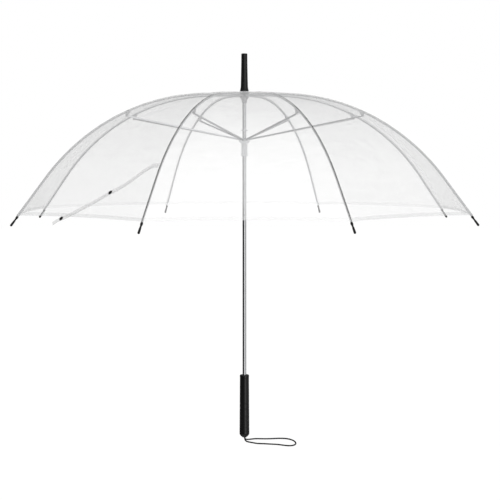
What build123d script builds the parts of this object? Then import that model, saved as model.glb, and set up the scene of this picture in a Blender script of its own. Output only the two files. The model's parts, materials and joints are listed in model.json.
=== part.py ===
"""Clear stick umbrella, open: eight ribs under a clear film, on a steel shaft with a runner.

The origin is the middle of the hand grip on the shaft's axis, with +Z towards the ferrule.
All sizes are in millimetres. Every arm is drawn with its rib along +X and turned into place.
"""

from build123d import *
from math import asin, atan2, cos, degrees, hypot, pi, radians, sin, tan
import os

# ---- overall sizes -------------------------------------------------------------------------
arm_count = 8
first_arm_angle = -112.5  # turn of arm 1 about +Z; the others follow counter-clockwise
tip_r = 504.0  # radius of the rib tips when open
ferrule_length = 78.9
grip_length = 136.2
bare_shaft = 48.5  # shaft left bare between the grip and the closed runner

# ---- shaft ---------------------------------------------------------------------------------
shaft_r = 4.0
shaft_wall = 0.6
shaft_seat = 6.1  # solid grip between the shaft's end and the knot's chamber
shaft_in_ferrule = 30.0
fixed_clearance = 0.03  # between the shaft and what is pinned or glued on it
running_clearance = 0.1  # between the shaft and the runner

# ---- linkage -------------------------------------------------------------------------------
pivot_r = 8.5  # radius of the wire rings at the crown and the runner
link_length = 257.0  # pivot to pivot, for the inner rib and the stretcher alike
link_angle_closed = 3.0  # degrees off the shaft when closed
bracket_drop = 8.0  # rib line down to the stretcher's rivet

# ---- rib line: flat, then a bend, then straight down to the tip ------------------------------
flat_r = 80.0
tip_slope = 52.5  # degrees below the horizontal
straight_length = 119.17
rib_width = 2.6
rib_depth = 2.6
rib_wall = 0.5
outer_rib_depth = 3.0
eye_play = 0.2  # how much narrower the outer rib and the stretcher are than the inner rib
eye_r = 1.7
neck_depth = 2.8
eye_neck = 6.0  # solid stretch beside an eye, before the channel starts
side_clearance = 0.3  # between a moving eye and the walls beside it

# ---- rib joint (bracket) ---------------------------------------------------------------------
cheek_thickness = 0.7
cheek_gap = 0.1  # between the inner rib and each cheek
cheek_top_r = 1.9
cheek_low_r = 2.1
cheek_reach = 6.5  # how far the cheeks grip back along the inner rib
web_gap = 0.1  # between the inner rib and the bridge over it
web_thickness = 0.5
joint_gap = 2.3  # inner rib's end to the joint's rivet
rivet_r = 0.7
rivet_head_r = 1.25
rivet_head = 0.4
pin_clearance = 0.1  # rivet or wire to a turning eye
set_clearance = 0.02  # rivet to the cheeks that hold it
wire_r = 0.5
wire_play = 0.2  # wire to a turning eye

# ---- stretcher -------------------------------------------------------------------------------
stretcher_depth = 3.0
stretcher_wall = 0.55

# ---- rib tip ---------------------------------------------------------------------------------
tip_length = 24.0
tip_collar_r = 2.4
tip_neck_r = 1.7
tip_end_r = 2.3
tip_collar_high, tip_neck_low = 4.0, 6.0  # from the hem
tip_neck_high, tip_end_low = 9.5, 11.5
tip_socket = 5.0  # how far the rib's end goes into the tip
tip_spigot_r = 1.05
tip_socket_gap = 0.2

# ---- crown -----------------------------------------------------------------------------------
crown_rim = 0.75  # beyond the wire ring
crown_sleeve_r = 5.5
crown_above = 5.0  # all measured from the rib pivots
crown_cone_high = 5.0
crown_cone_low = 10.0
crown_below = 16.0
crown_pin_below = 13.0
crown_pin_r = 0.8
notch_depth = 1.9  # slots for the eyes, inwards from the wire ring
notch_roof = 2.5  # cap over the slots
wire_groove_in = 0.7  # ring groove, inwards from the wire ring
wire_groove_height = 1.3

# ---- film, patch and washer --------------------------------------------------------------------
film_gap = 0.9  # between the rib joint's bridge and the film
film_thickness = 0.2
film_hole_clearance = 1.0
film_lift = 0.6  # film over the crown
patch_r = 39.0
patch_gap = 0.35
washer_r = 12.0
washer_gap = 0.55
washer_height = 2.4
washer_rim = 0.9
washer_boss_r = 7.6

# ---- ferrule -----------------------------------------------------------------------------------
ferrule_base_r = 9.2
ferrule_neck_r = 7.5
ferrule_top_r = 6.4
ferrule_skirt = 2.0
ferrule_flare = 12.0
ferrule_round = 1.2

# ---- stop ring and runner ------------------------------------------------------------------------
stop_ring_r = 7.0
stop_ring_height = 2.5
stop_ring_above = 19.5  # above the open runner's pivots
stop_ring_round = 0.6
runner_rim = 2.5  # head beyond the wire ring
runner_head_above = 2.5  # head above the pivots
runner_slot_below = 2.1  # slots below the pivots
runner_shelf = 2.4  # solid shelf below the slots
runner_sleeve_r = 6.3
runner_below = 36.1  # pivots to the runner's bottom
runner_foot_r = 7.5
runner_foot_low = 2.1
runner_foot_high = 5.2
runner_hub_r = 6.0

# ---- catches -------------------------------------------------------------------------------------
window_low = 5.4  # above the runner's bottom
window_height = 9.6
window_width = 3.4
nose_gap = 0.6  # window's lower edge to the nose
nose_height = 7.4
nose_out = 2.1  # beyond the shaft
nose_chamfer = 0.4
catch_width = 1.8
catch_inset = 0.4  # strip's outer face, under the shaft's
catch_thickness = 1.4
catch_length = 45.0
catch_slot_clearance = 0.25
anchor_slot_width = 2.2
anchor_slot_above = 5.5  # above the open runner's pivots
anchor_slot_height = 10.0

# ---- grip ------------------------------------------------------------------------------------------
grip_top_r = 9.75
grip_low_r = 10.65
collar_height = 6.0
collar_r = 9.95
collar_round = 1.5
cap_height = 8.0
cap_end_r = 4.3
cap_lip = 0.3
cap_lip_height = 1.2
cap_seat = 0.1  # between the grip and its collar or cap
ring_groove = 0.5
ring_groove_width = 1.4
ring_groove_zs = (6.3, -4.6)
fine_groove = 0.35
fine_groove_count = 5
fine_groove_above_cap = 6.9
fine_groove_pitch = 7.8
cord_hole_clearance = 0.3
chamber_r = 5.0
chamber_height = 12.0
knot_r = 4.2
knot_height = 9.0
knot_top_round = 2.5
knot_low_round = 0.8

# ---- wrist cord --------------------------------------------------------------------------------------
cord_r = 1.5
strand_y = 1.65  # half the distance between the two strands where they leave the grip
knot_low_z = -grip_length / 2 + cap_height + cap_seat
exit_z = -grip_length / 2 - 3.4
lean_z = -grip_length / 2 - 7.5  # where the second strand comes down
rest_z = -grip_length / 2 - 8.7  # height of the cord's middle where it lies
cord_route = [
    (0, -strand_y, knot_low_z),
    (0, -strand_y, exit_z),
    (4, -5, rest_z),
    (14, -13, rest_z),
    (27, -25, rest_z),
    (41, -26.5, rest_z),
    (56, -31, rest_z),
    (70, -33.5, rest_z),
    (84, -43, rest_z),
    (97, -48.8, rest_z),
    (107, -40, rest_z),
    (110.5, -24, rest_z),
    (109, -6, rest_z),
    (103, 12, rest_z),
    (92, 24.5, rest_z),
    (76, 27.5, rest_z),
    (58, 22.5, rest_z),
    (40, 22, rest_z),
    (25, 24.5, rest_z),
    (13, 18.5, rest_z),
    (5, 10, lean_z),
    (0, strand_y, exit_z),
    (0, strand_y, knot_low_z),
]

# ---- closure strap ---------------------------------------------------------------------------------------
strap_width = 10.0
strap_thickness = 0.4
strap_gap = 0.4
strap_line = [(152.0, 97.3), (112.0, 78.3), (-58.0, -11.7)]  # across the panel, above the hem
strap_below_hem = 13.6
snap_r = 4.25
snap_height = 1.6
snap_edge = 0.5
snap_gap = 0.1
snap_places = {"strap_snap_stud": (63.4, 49.4), "strap_snap_socket": (-40.0, -2.2)}

# ---- worked out --------------------------------------------------------------------------------------------
half_panel = 180 / arm_count
arm_angles = [first_arm_angle + 360 / arm_count * k for k in range(arm_count)]
bend_r = (tip_r - straight_length * cos(radians(tip_slope)) - flat_r) / sin(radians(tip_slope))
shank_r = tip_r - tip_length * cos(radians(tip_slope))

# The link falls just far enough for the stretcher's rivet to sit bracket_drop under the rib line.
reach, depth = flat_r - pivot_r, bend_r + bracket_drop
lever = (reach**2 + depth**2 + link_length**2 - bend_r**2) / (2 * link_length)
link_fall = asin(lever / hypot(reach, depth)) - atan2(reach, depth)
link_drop = 2 * link_length * sin(link_fall)
link_reach_closed = 2 * link_length * cos(radians(link_angle_closed))
runner_travel = link_reach_closed - link_drop

grip_top_z = grip_length / 2
grip_low_z = -grip_length / 2
collar_z = grip_top_z - collar_height
cap_z = grip_low_z + cap_height
chamber_top_z = cap_z + chamber_height
shaft_low_z = chamber_top_z + shaft_seat
crown_z = grip_top_z + bare_shaft + runner_below + link_reach_closed
runner_z = crown_z - link_drop
runner_low_z = runner_z - runner_below
stop_ring_z = runner_z + stop_ring_above
joint_r = pivot_r + link_length * cos(link_fall)
joint_z = crown_z - link_drop / 2
bend_centre = (flat_r, crown_z - bend_r)
joint_turn = degrees(asin((joint_r - flat_r) / bend_r))

crown_r = pivot_r + crown_rim
runner_head_r = pivot_r + runner_rim
notch_root_r = pivot_r - notch_depth
wire_groove_r = pivot_r - wire_groove_in
wire_eye_r = wire_r + wire_play
crown_top_z = crown_z + crown_above
crown_low_z = crown_z - crown_below
crown_pin_z = crown_z - crown_pin_below
outer_rib_width = rib_width - eye_play
stretcher_width = rib_width - eye_play
web_low = rib_depth / 2 + web_gap
web_high = web_low + web_thickness

film_offset = web_high + film_gap  # rib line to the film's inner face
film_hole_r = shaft_r + film_hole_clearance
film_centre_z = crown_top_z + film_lift
film_fall = (film_centre_z - crown_z - film_offset) / (flat_r - film_hole_r)
patch_low_z = film_centre_z + film_thickness + patch_gap
washer_low_z = patch_low_z + film_thickness + washer_gap
ferrule_low_z = washer_low_z + washer_height
ferrule_top_z = ferrule_low_z + ferrule_length
shaft_top_z = ferrule_low_z + shaft_in_ferrule

catch_outer_r = shaft_r - catch_inset
catch_inner_r = catch_outer_r - catch_thickness
nose_reach = shaft_r + nose_out

os.makedirs("parts", exist_ok=True)


def along_bend(distance):
    """Degrees of the bend that a distance along the rib line takes."""
    return degrees(distance / bend_r)


def bend_point(turn, offset=0.0):
    """A point of the rib's bend, turn degrees on from its start, offset outwards."""
    radius = bend_r + offset
    return (
        bend_centre[0] + radius * sin(radians(turn)),
        bend_centre[1] + radius * cos(radians(turn)),
    )


def slope_point(radius, offset=0.0):
    """A point of the straight stretch whose rib-line radius is given, offset outwards."""
    start = bend_point(tip_slope)
    drop = (radius - start[0]) * tan(radians(tip_slope))
    return (
        radius + offset * sin(radians(tip_slope)),
        start[1] - drop + offset * cos(radians(tip_slope)),
    )


def bend_outline(low, high, from_turn, to_turn):
    """Draw the closed outline of a stretch of the bend between two offsets."""
    sweep_angle = to_turn - from_turn
    outer = CenterArc(bend_centre, bend_r + high, 90 - to_turn, sweep_angle)
    inner = CenterArc(bend_centre, bend_r + low, 90 - to_turn, sweep_angle)
    Line(outer @ 0, inner @ 0)
    Line(outer @ 1, inner @ 1)


def slope_outline(low, high, to_radius):
    """Draw the closed outline of the straight stretch between two offsets."""
    Polyline(
        bend_point(tip_slope, high),
        slope_point(to_radius, high),
        slope_point(to_radius, low),
        bend_point(tip_slope, low),
        close=True,
    )


def save(part, name):
    """Label a finished piece and write it to its own file."""
    part.label = name
    export_step(part, f"parts/{name}.step")


def save_on_arm(part, name, arm):
    """Turn a piece drawn along +X to its arm, and write it with the arm's number."""
    with BuildPart() as placed:
        with Locations(Location((0, 0, 0), (0, 0, arm_angles[arm]))):
            add(part)
    save(placed.part, f"{name}_{arm + 1}")


# ============================================================================================
# Shaft: a thin steel tube with the slots that the catches work in
# ============================================================================================
catch_low_zs = {
    "top_catch": runner_low_z + window_low + nose_gap,
    "bottom_catch": runner_low_z - runner_travel + window_low + nose_gap,
}
catch_slot_width = catch_width + 2 * catch_slot_clearance

with BuildPart() as shaft_tube:
    with BuildSketch(Plane.XY.offset(shaft_low_z)):
        Circle(shaft_r)
        Circle(shaft_r - shaft_wall, mode=Mode.SUBTRACT)
    extrude(amount=shaft_top_z - shaft_low_z)
    for low_z in catch_low_zs.values():
        with BuildSketch(Plane.XZ):
            with Locations((0, low_z + catch_length / 2)):
                SlotOverall(
                    catch_length + 4 * catch_slot_clearance + catch_slot_width,
                    catch_slot_width,
                    rotation=90,
                )
        extrude(amount=-2 * shaft_r, mode=Mode.SUBTRACT)
    with BuildSketch(Plane.XZ):
        with Locations((0, runner_z + anchor_slot_above + anchor_slot_height / 2)):
            SlotOverall(anchor_slot_height, anchor_slot_width, rotation=90)
    extrude(amount=2 * shaft_r, mode=Mode.SUBTRACT)
    with Locations(Location((0, 0, crown_pin_z), (90, 0, 0))):
        Cylinder(crown_pin_r + set_clearance, 4 * shaft_r, mode=Mode.SUBTRACT)
save(shaft_tube.part, "shaft_tube")

# ============================================================================================
# Crown (top notch), its wire ring and its pin
# ============================================================================================
with BuildPart() as crown:
    with BuildSketch(Plane.XZ):
        with BuildLine():
            Polyline(
                (shaft_r + fixed_clearance, crown_low_z),
                (crown_sleeve_r, crown_low_z),
                (crown_sleeve_r, crown_z - crown_cone_low),
                (crown_r, crown_z - crown_cone_high),
                (crown_r, crown_top_z),
                (shaft_r + fixed_clearance, crown_top_z),
                close=True,
            )
        make_face()
    revolve(axis=Axis.Z)
    notch_top_z = crown_top_z - notch_roof
    with BuildSketch(Plane.XY.offset(notch_top_z)):
        for angle in arm_angles:
            with Locations(Location((0, 0, 0), (0, 0, angle))):
                with Locations((notch_root_r + crown_r / 2, 0)):
                    Rectangle(crown_r, rib_width + 2 * side_clearance)
    extrude(amount=crown_low_z - notch_top_z, mode=Mode.SUBTRACT)
    with BuildSketch(Plane.XZ):
        with Locations((wire_groove_r + crown_r / 2, crown_z)):
            Rectangle(crown_r, wire_groove_height)
    revolve(axis=Axis.Z, mode=Mode.SUBTRACT)
    with Locations(Location((0, 0, crown_pin_z), (90, 0, 0))):
        Cylinder(crown_pin_r + set_clearance, 4 * crown_r, mode=Mode.SUBTRACT)
save(crown.part, "crown")

with BuildPart() as crown_wire:
    with Locations((0, 0, crown_z)):
        Torus(pivot_r, wire_r)
save(crown_wire.part, "crown_wire")

with BuildPart() as crown_pin:
    with Locations(Location((0, 0, crown_pin_z), (90, 0, 0))):
        Cylinder(crown_pin_r, 2 * crown_sleeve_r)
save(crown_pin.part, "crown_pin")

# ============================================================================================
# Ferrule, rosette washer and apex patch
# ============================================================================================
with BuildPart() as ferrule:
    with BuildSketch(Plane.XZ):
        with BuildLine():
            Polyline(
                (0, shaft_top_z + fixed_clearance),
                (shaft_r + fixed_clearance, shaft_top_z + fixed_clearance),
                (shaft_r + fixed_clearance, ferrule_low_z),
                (ferrule_base_r, ferrule_low_z),
                (ferrule_base_r, ferrule_low_z + ferrule_skirt),
            )
            Spline(
                (ferrule_base_r, ferrule_low_z + ferrule_skirt),
                (ferrule_neck_r, ferrule_low_z + ferrule_flare),
                tangents=[(-0.8, 1), (-0.02, 1)],
            )
            Line((ferrule_neck_r, ferrule_low_z + ferrule_flare), (ferrule_top_r, ferrule_top_z))
            Polyline(
                (ferrule_top_r, ferrule_top_z),
                (0, ferrule_top_z),
                (0, shaft_top_z + fixed_clearance),
            )
        make_face()
    revolve(axis=Axis.Z)
    fillet(ferrule.faces().sort_by(Axis.Z)[-1].edges(), radius=ferrule_round)
save(ferrule.part, "ferrule")

with BuildPart() as top_washer:
    with BuildSketch(Plane.XZ):
        with BuildLine():
            Polyline(
                (shaft_r + fixed_clearance, washer_low_z),
                (washer_r, washer_low_z),
                (washer_r, washer_low_z + washer_rim),
                (washer_boss_r, ferrule_low_z),
                (shaft_r + fixed_clearance, ferrule_low_z),
                close=True,
            )
        make_face()
    revolve(axis=Axis.Z)
save(top_washer.part, "top_washer")

with BuildPart() as apex_patch:
    with BuildSketch(Plane.XZ):
        with BuildLine():
            rim_z = patch_low_z - film_fall * (patch_r - film_hole_r)
            Polyline(
                (film_hole_r, patch_low_z),
                (patch_r, rim_z),
                (patch_r, rim_z + film_thickness),
                (film_hole_r, patch_low_z + film_thickness),
                close=True,
            )
        make_face()
    revolve(axis=Axis.Z)
save(apex_patch.part, "apex_patch")

# ============================================================================================
# Stop ring, runner and its wire ring
# ============================================================================================
with BuildPart() as stop_ring:
    with BuildSketch(Plane.XY.offset(stop_ring_z - stop_ring_height / 2)):
        Circle(stop_ring_r)
        Circle(shaft_r + fixed_clearance, mode=Mode.SUBTRACT)
    extrude(amount=stop_ring_height)
    fillet(stop_ring.edges().filter_by(GeomType.CIRCLE).group_by(SortBy.RADIUS)[-1], radius=stop_ring_round)
save(stop_ring.part, "stop_ring")

runner_bore_r = shaft_r + running_clearance
with BuildPart() as runner_sleeve:
    with BuildSketch(Plane.XZ):
        with BuildLine():
            shelf_z = runner_z - runner_slot_below - runner_shelf
            Polyline(
                (runner_bore_r, runner_low_z),
                (runner_hub_r, runner_low_z),
                (runner_hub_r, runner_low_z + runner_foot_low),
                (runner_foot_r, runner_low_z + runner_foot_low),
                (runner_foot_r, runner_low_z + runner_foot_high),
                (runner_sleeve_r, runner_low_z + runner_foot_high),
                (runner_sleeve_r, shelf_z - runner_head_r + runner_sleeve_r),
                (runner_head_r, shelf_z),
                (runner_head_r, runner_z + runner_head_above),
                (runner_bore_r, runner_z + runner_head_above),
                close=True,
            )
        make_face()
    revolve(axis=Axis.Z)
    with BuildSketch(Plane.XY.offset(runner_z - runner_slot_below)):
        for angle in arm_angles:
            with Locations(Location((0, 0, 0), (0, 0, angle))):
                with Locations((notch_root_r + runner_head_r / 2, 0)):
                    Rectangle(runner_head_r, stretcher_width + 2 * side_clearance)
    extrude(amount=runner_slot_below + runner_head_above, mode=Mode.SUBTRACT)
    with BuildSketch(Plane.XZ):
        with Locations((wire_groove_r + runner_head_r / 2, runner_z)):
            Rectangle(runner_head_r, wire_groove_height)
    revolve(axis=Axis.Z, mode=Mode.SUBTRACT)
    with BuildSketch(Plane.XZ):
        with Locations((0, runner_low_z + window_low + window_height / 2)):
            Rectangle(window_width, window_height)
    extrude(amount=-2 * runner_head_r, mode=Mode.SUBTRACT)
save(runner_sleeve.part, "runner_sleeve")

with BuildPart() as runner_wire:
    with Locations((0, 0, runner_z)):
        Torus(pivot_r, wire_r)
save(runner_wire.part, "runner_wire")

# ============================================================================================
# Catches: sprung strips in the shaft whose noses hold the runner, open and closed
# ============================================================================================
for catch_name, low_z in catch_low_zs.items():
    with BuildPart() as catch:
        with BuildSketch(Plane.YZ):
            with BuildLine():
                Polyline(
                    (catch_inner_r, low_z),
                    (nose_reach - nose_chamfer, low_z),
                    (nose_reach, low_z + nose_chamfer),
                    (nose_reach, low_z + nose_height / 2),
                    (catch_outer_r, low_z + nose_height),
                    (catch_outer_r, low_z + catch_length),
                    (catch_inner_r, low_z + catch_length),
                    close=True,
                )
            make_face()
        extrude(amount=catch_width / 2, both=True)
    save(catch.part, catch_name)

# ============================================================================================
# Grip, collar, end cap, knot and wrist cord
# ============================================================================================
with BuildPart() as grip:
    with BuildSketch(Plane.XZ):
        with BuildLine():
            Polyline(
                (shaft_r + fixed_clearance, shaft_low_z),
                (shaft_r + fixed_clearance, collar_z - cap_seat),
                (grip_top_r, collar_z - cap_seat),
                (grip_low_r, cap_z + cap_seat),
                (chamber_r, cap_z + cap_seat),
                (chamber_r, chamber_top_z),
                (0, chamber_top_z),
                (0, shaft_low_z),
                close=True,
            )
        make_face()
    revolve(axis=Axis.Z)
    for groove_z in ring_groove_zs:
        with Locations((0, 0, groove_z)):
            Torus(
                grip_low_r + ring_groove_width / 2 - ring_groove,
                ring_groove_width / 2,
                mode=Mode.SUBTRACT,
            )
    for groove in range(fine_groove_count):
        with Locations((0, 0, cap_z + fine_groove_above_cap + groove * fine_groove_pitch)):
            Torus(grip_low_r + fine_groove, 2 * fine_groove, mode=Mode.SUBTRACT)
save(grip.part, "grip")

with BuildPart() as grip_collar:
    with BuildSketch(Plane.XY.offset(collar_z)):
        Circle(collar_r)
        Circle(shaft_r + fixed_clearance, mode=Mode.SUBTRACT)
    extrude(amount=collar_height)
    collar_top = grip_collar.faces().sort_by(Axis.Z)[-1]
    fillet(collar_top.edges().sort_by(SortBy.RADIUS)[-1], radius=collar_round)
save(grip_collar.part, "grip_collar")

with BuildPart() as grip_end_cap:
    with BuildSketch(Plane.XZ):
        with BuildLine():
            Polyline(
                (0, cap_z),
                (grip_low_r, cap_z),
                (grip_low_r - cap_lip, cap_z - cap_lip_height),
                (cap_end_r, grip_low_z),
                (0, grip_low_z),
                close=True,
            )
        make_face()
    revolve(axis=Axis.Z)
    with BuildSketch(Plane.XY.offset(grip_low_z)):
        hole_width = 2 * (cord_r + cord_hole_clearance)
        SlotOverall(2 * strand_y + hole_width, hole_width, rotation=90)
    extrude(amount=cap_height, mode=Mode.SUBTRACT)
save(grip_end_cap.part, "grip_end_cap")

with BuildPart() as cord_knot:
    with BuildSketch(Plane.XY.offset(knot_low_z)):
        Circle(knot_r)
    extrude(amount=knot_height)
    fillet(cord_knot.faces().sort_by(Axis.Z)[-1].edges(), radius=knot_top_round)
    fillet(cord_knot.faces().sort_by(Axis.Z)[0].edges(), radius=knot_low_round)
save(cord_knot.part, "cord_knot")

corners = [Vector(*point) for point in cord_route]
runs = [b - a for a, b in zip(corners, corners[1:])]
bend_radii = []
for before, after in zip(runs, runs[1:]):
    turn = before.get_angle(after)
    bend_radii.append(0.45 * min(before.length, after.length) / tan(radians(turn / 2)))
print("cord bend radii", [round(radius, 1) for radius in bend_radii])

with BuildPart() as wrist_cord:
    with BuildLine():
        route = FilletPolyline(*cord_route, radius=bend_radii)
    with BuildSketch(Plane(route @ 0, z_dir=route % 0)):
        Circle(cord_r)
    sweep()
volume_share = wrist_cord.part.volume / (route.length * pi * cord_r**2)
print("cord length", round(route.length, 1), "volume share", round(volume_share, 5))
save(wrist_cord.part, "wrist_cord")

# ============================================================================================
# Inner rib: a steel channel, with the rib joint's two cheeks and rivets
# ============================================================================================
inner_end_turn = joint_turn - along_bend(joint_gap)
channel_roof = rib_depth / 2 - rib_wall
rib_joint = bend_point(joint_turn)
stretcher_pivot = (joint_r, joint_z)
half_grip = rib_width / 2 + cheek_gap

with BuildPart() as inner_rib:
    with BuildSketch(Plane.XZ):
        with Locations(((pivot_r + flat_r) / 2, crown_z)):
            Rectangle(flat_r - pivot_r, rib_depth)
        with Locations((pivot_r, crown_z)):
            Circle(eye_r)
        with BuildLine():
            bend_outline(-rib_depth / 2, rib_depth / 2, 0, inner_end_turn)
        make_face()
    extrude(amount=rib_width / 2, both=True)
    with BuildSketch(Plane.XZ):
        channel_start = pivot_r + eye_neck
        with BuildLine():
            Polyline(
                (channel_start, crown_z - rib_depth),
                (channel_start, crown_z + channel_roof),
                (flat_r, crown_z + channel_roof),
                (flat_r, crown_z - rib_depth),
                close=True,
            )
        make_face()
        with BuildLine():
            bend_outline(-rib_depth, channel_roof, 0, joint_turn)
        make_face()
    extrude(amount=rib_width / 2 - rib_wall, both=True, mode=Mode.SUBTRACT)
    with Locations(Location((pivot_r, 0, crown_z), (90, 0, 0))):
        Cylinder(wire_eye_r, 2 * rib_width, mode=Mode.SUBTRACT)

with BuildPart() as bracket:
    for side in (1, -1):
        with BuildSketch(Plane.XZ.offset(side * half_grip)):
            with Locations(bend_point(joint_turn - along_bend(cheek_reach))):
                Circle(eye_r)
            with Locations(rib_joint):
                Circle(cheek_top_r)
            with Locations(stretcher_pivot):
                Circle(cheek_low_r)
            make_hull()
            with Locations(rib_joint, stretcher_pivot):
                Circle(rivet_r + set_clearance, mode=Mode.SUBTRACT)
        extrude(amount=side * cheek_thickness)
    with BuildSketch(Plane.XZ):
        with BuildLine():
            bend_outline(web_low, web_high, joint_turn - along_bend(cheek_reach), inner_end_turn)
        make_face()
    extrude(amount=half_grip + cheek_thickness, both=True)

rivets = []
for place in (rib_joint, stretcher_pivot):
    with BuildPart() as rivet:
        with Locations(Location((place[0], 0, place[1]), (90, 0, 0))):
            Cylinder(rivet_r, 2 * (half_grip + cheek_thickness))
            for side in (1, -1):
                with Locations((0, 0, side * (half_grip + cheek_thickness + rivet_head / 2))):
                    Cylinder(rivet_head_r, rivet_head)
    rivets.append(rivet.part)

with BuildPart() as inner_arm:
    add(inner_rib.part)
    add(bracket.part)
    for rivet_part in rivets:
        add(rivet_part)

# ============================================================================================
# Outer rib, on the rib joint's rivet, and its tip
# ============================================================================================
neck_turn = joint_turn + along_bend(eye_neck)
outer_roof = outer_rib_depth / 2 - rib_wall

with BuildPart() as outer_rib:
    with BuildSketch(Plane.XZ):
        with Locations(rib_joint):
            Circle(eye_r)
        with BuildLine():
            bend_outline(-neck_depth / 2, neck_depth / 2, joint_turn, neck_turn)
        make_face()
        with BuildLine():
            bend_outline(-outer_rib_depth / 2, outer_rib_depth / 2, neck_turn, tip_slope)
        make_face()
        with BuildLine():
            slope_outline(-outer_rib_depth / 2, outer_rib_depth / 2, shank_r)
        make_face()
    extrude(amount=outer_rib_width / 2, both=True)
    with BuildSketch(Plane.XZ):
        with BuildLine():
            bend_outline(-outer_rib_depth, outer_roof, neck_turn, tip_slope)
        make_face()
        with BuildLine():
            slope_outline(-outer_rib_depth, outer_roof, shank_r - eye_neck)
        make_face()
    extrude(amount=outer_rib_width / 2 - rib_wall, both=True, mode=Mode.SUBTRACT)
    with Locations(Location((rib_joint[0], 0, rib_joint[1]), (90, 0, 0))):
        Cylinder(rivet_r + pin_clearance, 2 * rib_width, mode=Mode.SUBTRACT)
    shank_point = slope_point(shank_r)
    slope_direction = (cos(radians(tip_slope)), 0, -sin(radians(tip_slope)))
    tip_plane = Plane((shank_point[0], 0, shank_point[1]), x_dir=(0, 1, 0), z_dir=slope_direction)
    with BuildSketch(tip_plane):
        Circle(tip_spigot_r)
    extrude(amount=tip_socket)

with BuildPart() as turned_tip:
    with BuildSketch(Plane.XZ):
        with BuildLine():
            Polyline(
                (0, tip_socket + tip_socket_gap),
                (tip_spigot_r + set_clearance, tip_socket + tip_socket_gap),
                (tip_spigot_r + set_clearance, 0),
                (tip_collar_r, 0),
                (tip_collar_r, tip_collar_high),
                (tip_neck_r, tip_neck_low),
                (tip_neck_r, tip_neck_high),
                (tip_end_r, tip_end_low),
                (tip_end_r, tip_length - tip_end_r),
            )
            CenterArc((0, tip_length - tip_end_r), tip_end_r, 0, 90)
            Line((0, tip_length), (0, tip_socket + tip_socket_gap))
        make_face()
    revolve(axis=Axis.Z)
with BuildPart() as rib_tip:
    with Locations(tip_plane):
        add(turned_tip.part)

# ============================================================================================
# Stretcher, from the runner to the rib joint
# ============================================================================================
stretcher_plane = Plane(
    (pivot_r, 0, runner_z),
    x_dir=(joint_r - pivot_r, 0, joint_z - runner_z),
    z_dir=(0, -1, 0),
)
with BuildPart() as stretcher:
    with BuildSketch(stretcher_plane):
        with Locations((0, 0), (link_length, 0)):
            Circle(eye_r)
        with Locations((link_length / 2, 0)):
            Rectangle(link_length, neck_depth)
            Rectangle(link_length - 2 * eye_neck, stretcher_depth)
    extrude(amount=stretcher_width / 2, both=True)
    with BuildSketch(stretcher_plane):
        with Locations((link_length / 2, -stretcher_wall)):
            Rectangle(link_length - 2 * eye_neck - 2, stretcher_depth)
    extrude(amount=stretcher_width / 2 - stretcher_wall, both=True, mode=Mode.SUBTRACT)
    with BuildSketch(stretcher_plane):
        Circle(wire_eye_r)
        with Locations((link_length, 0)):
            Circle(rivet_r + pin_clearance)
    extrude(amount=stretcher_width, both=True, mode=Mode.SUBTRACT)

# ============================================================================================
# Film gore: from the middle of one panel, over the rib, to the middle of the next
# ============================================================================================
panel_reach = tip_r * tan(radians(half_panel))
panel_direction = (-sin(radians(half_panel)), cos(radians(half_panel)), 0)


def sheet_outline(low, high, to_radius):
    """Draw the closed outline of a sheet over the whole rib, between two offsets."""
    centre_low = (film_hole_r, film_centre_z + low - film_offset)
    centre_high = (film_hole_r, film_centre_z + high - film_offset)
    Line(centre_high, (flat_r, crown_z + high))
    CenterArc(bend_centre, bend_r + high, 90 - tip_slope, tip_slope)
    Polyline(
        bend_point(tip_slope, high),
        slope_point(to_radius, high),
        slope_point(to_radius, low),
        bend_point(tip_slope, low),
    )
    CenterArc(bend_centre, bend_r + low, 90 - tip_slope, tip_slope)
    Polyline((flat_r, crown_z + low), centre_low, centre_high)


with BuildPart() as gore:
    with BuildSketch(Plane.XZ):
        with BuildLine():
            sheet_outline(film_offset, film_offset + film_thickness, shank_r)
        make_face()
    extrude(amount=panel_reach, dir=panel_direction)
    split(bisect_by=Plane((0, 0, 0), z_dir=panel_direction), keep=Keep.BOTTOM)
    mirror(about=Plane.XZ)

for arm in range(arm_count):
    save_on_arm(inner_arm.part, "rib_inner", arm)
    save_on_arm(outer_rib.part, "rib_outer", arm)
    save_on_arm(rib_tip.part, "rib_tip", arm)
    save_on_arm(stretcher.part, "stretcher", arm)
    save_on_arm(gore.part, "canopy_gore", arm)

# ============================================================================================
# Closure strap, lying across the panel beside arm 1, and its snap fastener
# ============================================================================================
hem_z = slope_point(shank_r)[1]
strap_low = film_offset + film_thickness + strap_gap
mid_direction = (cos(radians(half_panel)), -sin(radians(half_panel)), 0)
toward_rib = (sin(radians(half_panel)), cos(radians(half_panel)), 0)
across_plane = Plane((0, 0, 0), x_dir=toward_rib, z_dir=mid_direction)
strap_span = strap_line[0][0] - strap_line[-1][0] + 2 * strap_width
with BuildPart() as closure_strap:
    with BuildSketch(Plane.XZ):
        with BuildLine():
            sheet_outline(strap_low, strap_low + strap_thickness, shank_r + strap_below_hem)
        make_face()
    extrude(amount=strap_span, dir=(-toward_rib[0], -toward_rib[1], 0))
    with BuildSketch(across_plane):
        with BuildLine() as strap_middle:
            Polyline(*[(across, hem_z + rise) for across, rise in strap_line])
        trace(strap_middle.line, line_width=strap_width)
    extrude(amount=2 * tip_r, mode=Mode.INTERSECT)
with BuildPart() as placed_strap:
    with Locations(Location((0, 0, 0), (0, 0, first_arm_angle))):
        add(closure_strap.part)
save(placed_strap.part, "closure_strap")

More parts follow.
